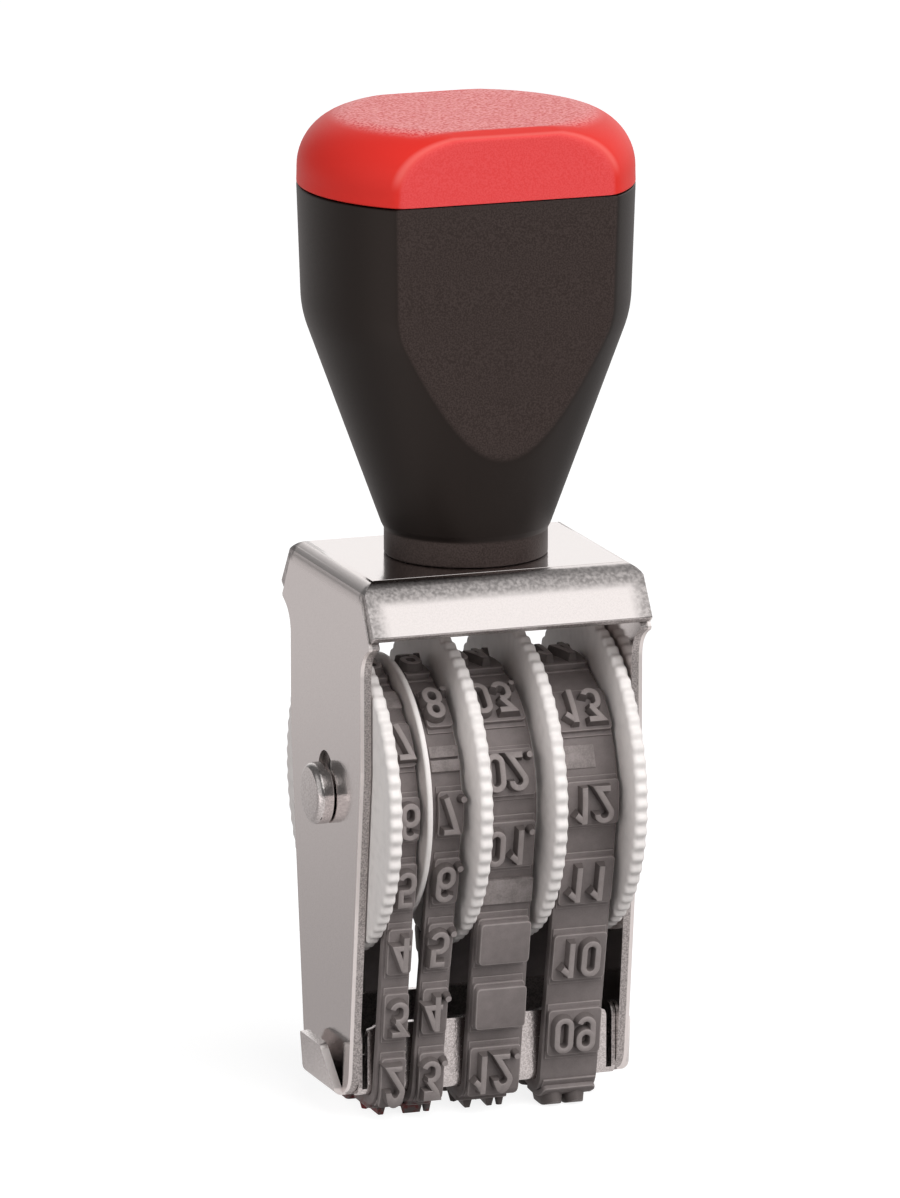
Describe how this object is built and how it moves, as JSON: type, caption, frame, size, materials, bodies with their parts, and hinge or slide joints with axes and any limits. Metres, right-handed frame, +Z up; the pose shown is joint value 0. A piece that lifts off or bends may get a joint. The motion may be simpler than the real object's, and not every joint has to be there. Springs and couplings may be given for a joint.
{
  "type": "date stamp",
  "caption": "Hand date stamp: tapered grip with a coloured cap on a bent steel frame, serrated setting wheels on an axle and rubber type bands that run over a platen.",
  "frame": {"origin": "centre of the print face, at the level of the type faces the stamp stands on", "axes": "+X along the axle from the day wheels to the year wheel, +Y from the front to the back, +Z up to the grip"},
  "size_m": [0.0344, 0.0316, 0.0986],
  "materials": {
    "grip_black": "fine eroded grain",
    "cap_red": "fine eroded grain",
    "plated_steel": "bright nickel plate",
    "zinc": "zinc plate",
    "wheel_white": "satin",
    "band_rubber": "moulded matte"
  },
  "bodies": {
    "stamp": {"handle": "grip_black", "handle_cap": "cap_red", "handle_screw": "zinc", "lock_washer": "zinc", "frame": "plated_steel", "axle": "plated_steel", "platen": "plated_steel", "day_tens_band": "band_rubber", "day_units_band": "band_rubber", "month_band": "band_rubber", "year_band": "band_rubber"},
    "day_tens": {"day_tens_wheel": "wheel_white"},
    "separator": {"separator_disc": "wheel_white"},
    "day_units": {"day_units_wheel": "wheel_white"},
    "month": {"month_wheel": "wheel_white"},
    "year": {"year_wheel": "wheel_white"}
  },
  "joints": [
    {"name": "day_tens_turn", "type": "hinge", "parent": "stamp", "child": "day_tens", "pos_m": [0, 0, 0.032], "axis": [1, 0, 0], "continuous": true},
    {"name": "separator_turn", "type": "hinge", "parent": "stamp", "child": "separator", "pos_m": [0, 0, 0.032], "axis": [1, 0, 0], "continuous": true},
    {"name": "day_units_turn", "type": "hinge", "parent": "stamp", "child": "day_units", "pos_m": [0, 0, 0.032], "axis": [1, 0, 0], "continuous": true},
    {"name": "month_turn", "type": "hinge", "parent": "stamp", "child": "month", "pos_m": [0, 0, 0.032], "axis": [1, 0, 0], "continuous": true},
    {"name": "year_turn", "type": "hinge", "parent": "stamp", "child": "year", "pos_m": [0, 0, 0.032], "axis": [1, 0, 0], "continuous": true}
  ]
}
